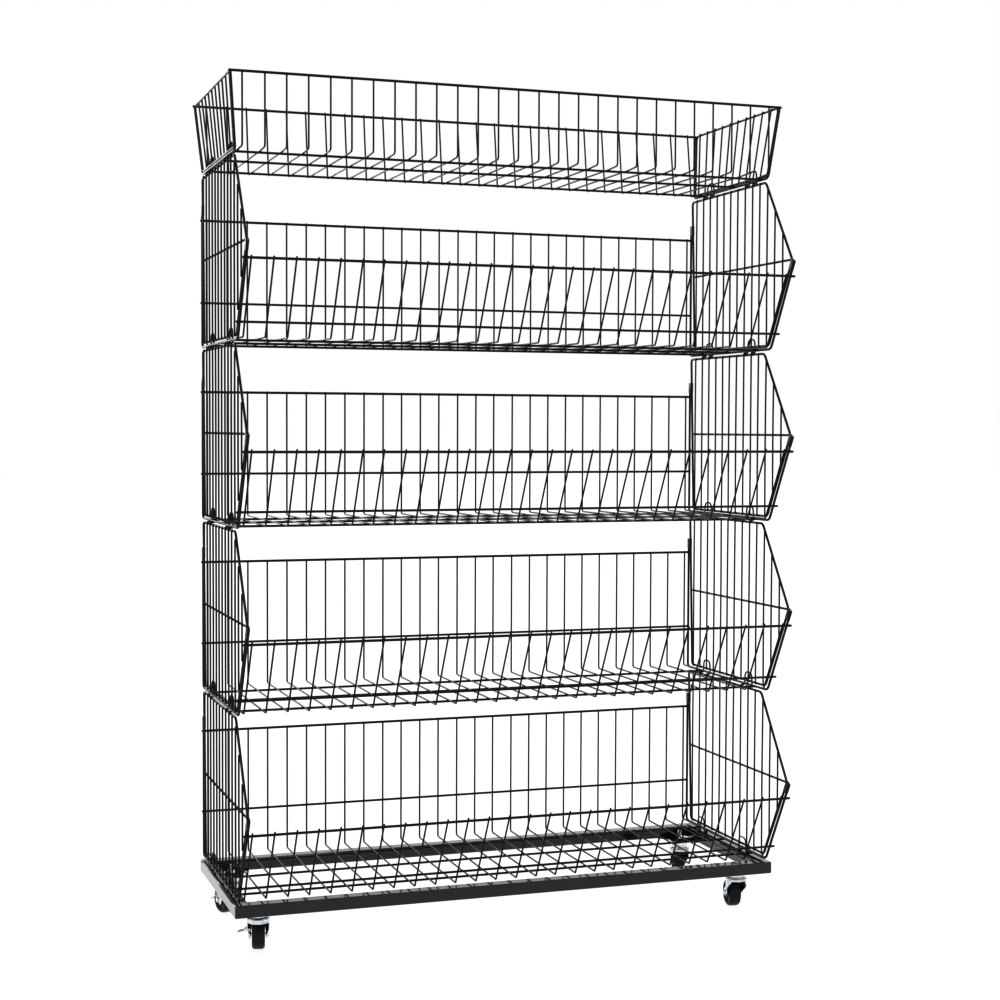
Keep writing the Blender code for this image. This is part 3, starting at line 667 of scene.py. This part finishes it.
def top_basket_mesh():
    rims = (TOP_BACK_RIM, TOP_FRONT_RIM)
    end = [(TOP_BACK_RIM, TOP_RIM), (TOP_BACK_LOW, END_FLOOR),
           (TOP_FRONT_LOW, END_FLOOR), (TOP_FRONT_RIM, TOP_RIM)]
    paths = [(soft_corners(tray_leaning(side, end), TOP_BEND, 6), FRAME, False) for side in (-1, 1)]
    paths += [(straight(y, TOP_RIM, TOP_RIM_HALF), FRAME, False) for y in rims]
    paths += [(straight(y, END_FLOOR, FLOOR_HALF), LONG, False) for y in TOP_FLOOR]
    welds = []
    for x in upright_places():
        paths.append((tray_upright(x), THIN, False))
        welds += [((x, y, END_FLOOR + LONG), CROSS_NUGGET) for y in TOP_FLOOR]
        welds.append(((x, TOP_BACK_RIM - FRAME, TOP_RIM), CROSS_NUGGET))
        welds.append(((x, TOP_FRONT_RIM + FRAME, TOP_RIM), CROSS_NUGGET))
    for side in (-1, 1):
        corners = (TOP_BACK_RIM - 0.001, TOP_FRONT_RIM + 0.001)
        welds += [((tray_x(side, TOP_RIM), y, TOP_RIM), FRAME * 1.1) for y in corners]
    return add_welds(wire_mesh("top_basket", paths), welds)


def top_side_mesh(side):
    """A leaning frame nested inside the tray's end wire, with thin uprights on its inner side."""
    foot = END_FLOOR + 2 * FRAME + 0.0002
    slope = (foot - END_FLOOR) / (TOP_RIM - END_FLOOR)
    back_foot = TOP_BACK_LOW + slope * (TOP_BACK_RIM - TOP_BACK_LOW) - TOP_SIDE_NEST
    front_foot = TOP_FRONT_LOW + slope * (TOP_FRONT_RIM - TOP_FRONT_LOW) + TOP_SIDE_NEST
    back_top = TOP_BACK_RIM - TOP_SIDE_NEST
    front_top = TOP_FRONT_RIM + TOP_SIDE_NEST
    outline = [(back_foot, foot), (back_top, TOP_RIM), (front_top, TOP_RIM), (front_foot, foot)]
    bent = soft_corners(tray_leaning(side, outline), TOP_BEND, 6, closed=True)
    paths = [(bent, FRAME - 0.0002, True)]
    welds = []
    for i in range(TOP_SIDE_WIRES):
        share = i / (TOP_SIDE_WIRES - 1)
        low = back_foot - TOP_SIDE_MARGIN + share * (front_foot - back_foot + 2 * TOP_SIDE_MARGIN)
        high = back_top - TOP_SIDE_MARGIN + share * (front_top - back_top + 2 * TOP_SIDE_MARGIN)
        tip = TOP_RIM + 0.0033 - draw.uniform(0, TIP_STRAY)
        upright = [(low, foot - 0.0014), (high, tip)]
        paths.append((tray_leaning(side, upright, BESIDE_FRAME), THIN, False))
        for y, z in ((low, foot), (high, TOP_RIM)):
            welds.append(((tray_x(side, z) - side * FRAME, y, z), FOOT_NUGGET))
    return add_welds(wire_mesh("top_side", paths), welds)


def build_tiers():
    basket = deep_basket_mesh()
    clips = deep_clips_mesh()
    panel = side_panel_mesh()
    sides = (("left", -1), ("right", 1))
    for i in range(4):
        tier = 5 - i
        level = BASE_TOP + i * TIER_PITCH
        show_wire(f"wire_basket_{tier}", basket, [f"basket_tier_{tier}"], (0, CENTER_Y, level))
        show_wire(f"basket_clips_{tier}", clips, [], (0, CENTER_Y, level))
        for name, side in sides:
            node = f"side_panel_tier_{tier}_{name}"
            show_wire(f"wire_side_{tier}_{name}", panel, [node], (side * PANEL_X, CENTER_Y, level))
    show_wire("wire_tray", top_basket_mesh(), ["top_basket"], (0, CENTER_Y, TOP_LEVEL))
    for name, side in sides:
        node = "top_basket_side_" + name
        show_wire("wire_tray_side_" + name, top_side_mesh(side), [node], (0, CENTER_Y, TOP_LEVEL))


# Base frame


def base_arches_mesh(side):
    """Arches whose feet lie across the tube, where the lowest basket rests on them."""
    near = side * (PANEL_X + FRAME)
    far = side * (PANEL_X - ARCH_ASIDE)
    paths = []
    for i in ARCH_WIRES:
        corners = arch_corners(near, far, (panel_wire_y(i), panel_wire_y(i + 1)), BASE_TOP)
        path = soft_corners(corners, (0, REST_BEND, ARCH_BEND, ARCH_BEND, REST_BEND, 0), 6)
        paths.append((path, THIN, False))
    return wire_mesh("base_arches", paths)


def weld_bead(start, end, count):
    """A rippled bead laid between two points."""
    shape = bmesh.new()
    for k in range(count):
        place = Vector(start).lerp(Vector(end), k / (count - 1))
        size = BEAD_RADIUS * draw.uniform(0.85, 1.1)
        bmesh.ops.create_icosphere(shape, subdivisions=2, radius=size, matrix=Matrix.Translation(place))
    for face in shape.faces:
        face.smooth = True
    mesh = bpy.data.meshes.new("bead")
    shape.to_mesh(mesh)
    shape.free()
    return mesh


def long_tube_mesh(end):
    """The front or back tube, sharp at the corners that the side tubes butt against."""
    return rounded_box("tube", (BASE_LENGTH, TUBE_WIDTH, TUBE_HEIGHT), TUBE_ROUND,
                       keep=lambda spot: abs(spot.z) < 0.001 and spot.y * end < 0)


def side_tube_mesh(side):
    """A side tube with its welds and arches, around the base's middle."""
    length = 2 * INNER_Y
    tube = rounded_box("tube", (TUBE_WIDTH, length, TUBE_HEIGHT), TUBE_ROUND,
                       keep=lambda spot: abs(spot.y) > length / 2 - 0.001)
    middle = (side * (BASE_LENGTH - TUBE_WIDTH) / 2, 0, BASE_TOP - TUBE_HEIGHT / 2)
    tube.transform(Matrix.Translation(middle))
    beads = []
    for end in (-1, 1):
        foot = (side * INNER_X, end * INNER_Y, BASE_FOOT + 0.004)
        top = (side * INNER_X, end * INNER_Y, BASE_TOP - 0.003)
        beads.append(weld_bead(foot, top, 9))
    return joined("side_tube", [tube, base_arches_mesh(side), *beads])


def build_base():
    for name, end in (("front", -1), ("back", 1)):
        place = (0, CENTER_Y + end * (BASE_DEPTH - TUBE_WIDTH) / 2, BASE_TOP - TUBE_HEIGHT / 2)
        show("rail_tube_" + name, long_tube_mesh(end), charcoal, "rack",
             ["base_tube_" + name], place)
    for name, side in (("left", -1), ("right", 1)):
        show("rail_tube_" + name, side_tube_mesh(side), charcoal, "rack",
             ["base_tube_" + name], (0, CENTER_Y, 0))


def corner_brace_mesh(side, end):
    """A flat bar across a corner of the tubes, with a hole for the caster's stem."""
    reaches = [(BRACE_REACH, 0), (0, BRACE_REACH), (0, BRACE_GAP), (BRACE_GAP, 0)]
    outline = [(side * (INNER_X - a), end * (INNER_Y - b)) for a, b in reaches]
    hole = arc((side * STEM_X, end * STEM_Y), STEM_RADIUS + 0.0006, 0, 345, 24)
    return plate_mesh("brace", outline, BRACE_THICKNESS, 0.0004, [hole])


def build_braces():
    for name, caster in CASTERS.items():
        mesh = corner_brace_mesh(caster["side"], caster["end"])
        show_wire("corner_brace_" + name, mesh, ["corner_plate_" + name],
                  (0, CENTER_Y, BASE_FOOT + BRACE_THICKNESS / 2))


# Casters


def stem_mesh(top):
    """Threaded stem, pressed upper cup that dips into the fork's dish, and kingpin."""
    thread = [(0, top), (STEM_RADIUS - 0.0010, top)]
    z = top - THREAD_PITCH / 2
    while z > BASE_FOOT + 0.0002:
        thread += [(STEM_RADIUS, z), (STEM_RADIUS - THREAD_DEPTH, z - THREAD_PITCH / 2)]
        z -= THREAD_PITCH
    under = CUP_TOP - CUP_WALL
    cup = [(STEM_RADIUS, CUP_TOP), (CUP_FLANGE, CUP_TOP), (CUP_FLANGE, under),
           (CUP_NECK, under - 0.0005), (CUP_NECK - 0.0001, CUP_FOOT), (STEM_RADIUS, CUP_FOOT)]
    pin = [(STEM_RADIUS, PIN_SEAT), (PIN_HEAD, PIN_SEAT), (PIN_HEAD, PIN_FOOT), (0, PIN_FOOT)]
    profile = thread + soft_corners(cup, (0, 0.0004, 0.0005, 0.0019, 0.0022, 0), 2)
    profile += soft_corners(pin, (0, 0.0002, 0.0007, 0), 2)
    return turned_mesh("stem", profile)


def nut_mesh():
    """A chamfered ring pressed in to six flats."""
    bore = STEM_RADIUS + 0.0003
    chamfer = 0.0008
    face = NUT_CORNER - 0.0017
    profile = [(face, NUT_HEIGHT), (NUT_CORNER, NUT_HEIGHT - chamfer), (NUT_CORNER, chamfer),
               (face, 0), (bore, 0), (bore, NUT_HEIGHT)]
    mesh = turned_mesh("nut", profile, 48, closed=True)
    for vertex in mesh.vertices:
        radius = math.hypot(vertex.co.x, vertex.co.y)
        turn = math.atan2(vertex.co.y, vertex.co.x) % (math.pi / 3) - math.pi / 6
        limit = NUT_FLAT / math.cos(turn)
        if radius > limit:
            vertex.co.x *= limit / radius
            vertex.co.y *= limit / radius
    return outward(mesh, 25.0)


def crown_mesh(brake):
    """The fork's pressed ring with a dish that turns on the kingpin."""
    rim = CROWN_RIM[brake]
    bore = STEM_RADIUS + 0.0003
    corners = [(CROWN_RADIUS, rim), (CROWN_RADIUS, CROWN_FOOT[brake]), (DISH_EDGE, DISH_UNDER),
               (bore, DISH_UNDER), (bore, DISH_TOP), (DISH_FLAT, DISH_TOP),
               (DISH_RADIUS, DISH_TOP - DISH_DIP), (CROWN_INNER, rim)]
    profile = soft_corners(corners, (0.0008, 0.0022, 0, 0, 0, 0, 0.0008, 0.0006), 2, closed=True)
    return turned_mesh("crown", profile, 48, closed=True)


def leg_row(z, front, back, side):
    """Points across a leg at a height: round with the crown at the top, flat further down."""
    blend = min(1.0, max(0.0, (LEG_BEND_START - z) / LEG_BEND_DROP))
    blend = blend * blend * (3 - 2 * blend)
    row = []
    for k in range(LEG_COLUMNS + 1):
        trail = front + (back - front) * k / LEG_COLUMNS
        round_x = math.sqrt(LEG_RING ** 2 - min(abs(trail), LEG_SPAN) ** 2)
        row.append((side * (round_x + blend * (LEG_FLAT - round_x)), trail, z))
    return row


def leg_mesh(side, brake):
    """A pressed fork leg that runs back from the crown's ring to the axle's eye."""
    mesh = bpy.data.meshes.new("leg")
    shape = bmesh.new()
    rows = []
    for z, front, back in LEG_ROWS:
        front = max(front, BRAKED_LEG_FRONT) if brake else front
        rows.append([shape.verts.new(spot) for spot in leg_row(z, front, back, side)])
    for upper, lower in zip(rows, rows[1:]):
        for k in range(LEG_COLUMNS):
            shape.faces.new((upper[k], upper[k + 1], lower[k + 1], lower[k]))
    bmesh.ops.recalc_face_normals(shape, faces=shape.faces)
    shape.to_mesh(mesh)
    shape.free()
    obj = link("leg", mesh, None)
    thick = obj.modifiers.new("thick", "SOLIDIFY")
    thick.thickness = LEG_THICKNESS
    thick.offset = 0.0
    rounding = obj.modifiers.new("edge", "BEVEL")
    rounding.width = 0.0004
    rounding.segments = 2
    return outward(baked(obj, "leg"), 45.0)


def hinge_meshes():
    """Two ears and the pin that hold the brake lever."""
    outline = [(-0.0040, -EAR_HALF), *arc((0.0042, 0), EAR_HALF, -90, 90, 7), (-0.0040, EAR_HALF)]
    upright = Matrix.Rotation(math.pi / 2, 4, "X")
    meshes = []
    for side in (-1, 1):
        ear = plate_mesh("ear", outline, 0.0016, 0.0003)
        place = Matrix.Translation(LEVER_HINGE + Vector((0, side * EAR_ASIDE, 0)))
        ear.transform(place @ upright @ Matrix.Rotation(math.pi, 4, "Y"))
        meshes.append(outward(ear))
    half = EAR_ASIDE + 0.0008
    end = [(0, half), (0.0010, half), (0.0012, half - 0.0002)]
    pin = turned_mesh("pin", end + [(radius, -z) for radius, z in reversed(end)], 16)
    pin.transform(Matrix.Translation(LEVER_HINGE) @ upright)
    return meshes + [pin]


def guard_mesh():
    """A small plate beside the wheel, drawn as (trail, height) and stood upright."""
    outline = [(0.0070, 0.0352), (0.0195, 0.0352), (0.0205, 0.0310), (0.0178, 0.0205),
               (0.0140, 0.0172), (0.0108, 0.0205), (0.0072, 0.0300)]
    mesh = plate_mesh("guard", outline, 0.0012, 0.0003)
    mesh.transform(Matrix(((0, 0, 1, -0.0152), (1, 0, 0, 0), (0, 1, 0, 0), (0, 0, 0, 1))))
    return outward(mesh)


def fork_mesh(brake):
    parts = [crown_mesh(brake), leg_mesh(-1, brake), leg_mesh(1, brake)]
    if brake:
        parts += [*hinge_meshes(), guard_mesh()]
    return joined("fork", parts)


def wheel_mesh():
    """Tread with soft shoulders, a parting line and a dished, ribbed hub on each face."""
    half = WHEEL_HALF
    hub = [(AXLE_RADIUS + 0.0003, half - 0.0004), (0.0062, half - 0.0004), (0.0066, half - 0.0010),
           (0.0073, half - 0.0020), (0.0182, half - 0.0022), (0.0190, half - 0.0016),
           (0.0197, half - 0.0004)]
    shoulder = []
    for k in range(7):
        turn = math.radians(15 * k)
        radius = WHEEL_RADIUS - 0.0045 * (1 - math.sin(turn))
        shoulder.append((radius, half - 0.0060 * (1 - math.cos(turn))))
    parting = half - 0.0073
    line = [(WHEEL_RADIUS, parting + 0.0003), (WHEEL_RADIUS - 0.00015, parting + 0.0001),
            (WHEEL_RADIUS - 0.00015, parting - 0.0001), (WHEEL_RADIUS, parting - 0.0003)]
    upper = hub + shoulder + line
    lower = [(radius, -height) for radius, height in reversed(upper)]
    parts = [turned_mesh("wheel", upper + lower, 64, closed=True)]
    for side in (-1, 1):
        for k in range(6):
            rib = rounded_box("rib", (0.0112, 0.0012, 0.0016), 0.0003, 2)
            place = Matrix.Translation((0.0130, 0, side * (half - 0.0020)))
            rib.transform(Matrix.Rotation(k * math.pi / 3, 4, "Z") @ place)
            parts.append(rib)
    mesh = joined("wheel", parts)
    mesh.transform(Matrix.Rotation(math.pi / 2, 4, "Y"))
    return mesh


def axle_mesh():
    """Bolt with a domed head at one end and a small hex nut at the other."""
    dome = []
    for k in range(7):
        turn = math.radians(90 - 15 * k)
        height = AXLE_DOME * math.sin(turn) ** DOME_POWER
        dome.append((AXLE_HEAD * math.cos(turn) ** DOME_POWER, AXLE_SEAT + height))
    tip = -AXLE_SEAT - 0.0030
    shank = [(AXLE_RADIUS, AXLE_SEAT), (AXLE_RADIUS, tip + 0.0002), (AXLE_RADIUS - 0.0004, tip), (0, tip)]
    bolt = turned_mesh("bolt", dome + shank, 32)
    bore = AXLE_RADIUS + 0.0001
    nut_end = -AXLE_SEAT - 0.0026
    hexagon = [(AXLE_HEAD - 0.0004, -AXLE_SEAT), (AXLE_HEAD, -AXLE_SEAT - 0.0004),
               (AXLE_HEAD, nut_end + 0.0004), (AXLE_HEAD - 0.0008, nut_end),
               (bore, nut_end), (bore, -AXLE_SEAT)]
    nut = turned_mesh("axle_nut", hexagon, 6, closed=True)
    mesh = joined("axle", [bolt, outward(nut, 20.0)])
    mesh.transform(Matrix.Rotation(math.pi / 2, 4, "Y"))
    return mesh


def lever_mesh():
    """Pressed side-lock lever: a rolled eye and a tapering foot tab that droops."""
    edge = LEVER_HALF - 0.0003
    rolled = [(0.0024, LEVER_HALF), (0.0026, edge), (0.0026, -edge), (0.0024, -LEVER_HALF),
              (0.0016, -LEVER_HALF), (0.0016, LEVER_HALF)]
    eye = turned_mesh("eye", rolled, 24, closed=True)
    eye.transform(Matrix.Rotation(math.pi / 2, 4, "X"))
    near_edge = [(-0.0015, -0.0042), (-0.0070, -0.0043), (-0.0130, -0.0038)]
    far_edge = [(x, -y) for x, y in reversed(near_edge)]
    outline = near_edge + arc((-0.0158, 0), 0.0032, 270, 90, 11) + far_edge
    tab = plate_mesh("tab", outline, 0.0016, 0.0004)
    for vertex in tab.vertices:
        reach = max(0.0, -vertex.co.x - 0.010)
        vertex.co.z -= reach * reach * 14.0
    tab.transform(Matrix.Rotation(LEVER_SLOPE, 4, "Y"))
    return joined("lever", [eye, outward(tab)])


def build_casters():
    nut = nut_mesh()
    wheel = wheel_mesh()
    axle = axle_mesh()
    lever = lever_mesh()
    stems = {end: stem_mesh(top) for end, top in STEM_TOP.items()}
    forks = {brake: fork_mesh(brake) for brake in (True, False)}
    axle_place = (0, TRAIL, WHEEL_RADIUS)
    for name, caster in CASTERS.items():
        stem = stems[caster["end"]]
        fork = forks[caster["brake"]]
        fork_body = "fork_" + name
        wheel_body = "wheel_" + name
        lever_body = "lever_" + name
        pieces = [
            ("stem_bolt", stem, zinc, "zinc_plate", "rack", "caster_stem", (0, 0, 0)),
            ("lock_nut", nut, zinc, "zinc_plate", "rack", "stem_nut", (0, 0, NUT_FOOT)),
            ("swivel_fork", fork, zinc, "zinc_plate", fork_body, "caster_fork", (0, 0, 0)),
            ("axle_bolt", axle, zinc, "zinc_plate", fork_body, "caster_axle", axle_place),
            ("tread_wheel", wheel, wheel_black, "black_wheel", wheel_body, "caster_wheel", axle_place),
        ]
        if caster["brake"]:
            brake = ("foot_lever", lever, lever_zinc, "zinc_plate", lever_body, "brake_lever", LEVER_HINGE)
            pieces.append(brake)
        stand = Matrix.Translation((caster["side"] * STEM_X, caster["end"] * STEM_Y + CENTER_Y, 0))
        spin = stand @ Matrix.Rotation(caster["turn"], 4, "Z")
        for piece, mesh, material, slot, body, node, local in pieces:
            show(f"{piece}_{name}", mesh, material, body, [f"{node}_{name}"],
                 spin @ Vector(local), caster["turn"])


# Studio


def build_floor():
    """A pale floor that glows almost as bright as the backdrop, so that shadows stay faint."""
    material = finish_material("pale_floor", ((0.075, 0.075, 0.075), (0.085, 0.085, 0.085)),
                               (0.65, 0.75), 3.0, 200.0, 0.02, glow=0.917)
    mesh = bpy.data.meshes.new("floor")
    shape = bmesh.new()
    bmesh.ops.create_grid(shape, x_segments=1, y_segments=1, size=30.0)
    shape.to_mesh(mesh)
    shape.free()
    floor = link("floor", mesh, material)


def area_light(name, place, target, size, power):
    light = bpy.data.lights.new(name, "AREA")
    light.shape = "RECTANGLE"
    light.size, light.size_y = size
    light.energy = power
    obj = bpy.data.objects.new(name, light)
    bpy.context.scene.collection.objects.link(obj)
    obj.location = place
    obj.rotation_euler = (Vector(target) - Vector(place)).to_track_quat("-Z", "Y").to_euler()
    return obj


def build_studio():
    world = bpy.data.worlds.new("studio")
    bpy.context.scene.world = world
    world.use_nodes = True
    sky = world.node_tree.nodes["Background"]
    sky.inputs["Color"].default_value = (1.0, 1.0, 1.0, 1.0)
    sky.inputs["Strength"].default_value = 1.0
    area_light("left_key", (-2.6, -1.4, 2.6), (0, 0, 0.7), (0.8, 1.8), 26.0)
    area_light("right_rim", (2.4, 1.6, 2.4), (0, 0, 0.7), (0.6, 1.8), 16.0)
    back = area_light("back_fill", (-1.3, 4.2, 1.9), (0, 0, 0.6), (1.8, 1.6), 24.0)
    back.visible_camera = False
    view = bpy.context.scene.view_settings
    view.view_transform = "Standard"
    view.gamma = 0.62


def build_camera():
    data = bpy.data.cameras.new("camera")
    data.lens = CAMERA_LENS
    data.sensor_width = 36.0
    camera = bpy.data.objects.new("camera", data)
    bpy.context.scene.collection.objects.link(camera)
    look = Matrix.Rotation(CAMERA_YAW, 4, "Z") @ Matrix.Rotation(math.pi / 2 - CAMERA_PITCH, 4, "X")
    camera.matrix_world = Matrix.Translation(CAMERA_PLACE) @ look @ Matrix.Rotation(CAMERA_ROLL, 4, "Z")
    bpy.context.scene.camera = camera


build_camera()
build_studio()
build_floor()
build_tiers()
build_base()
build_braces()
build_casters()
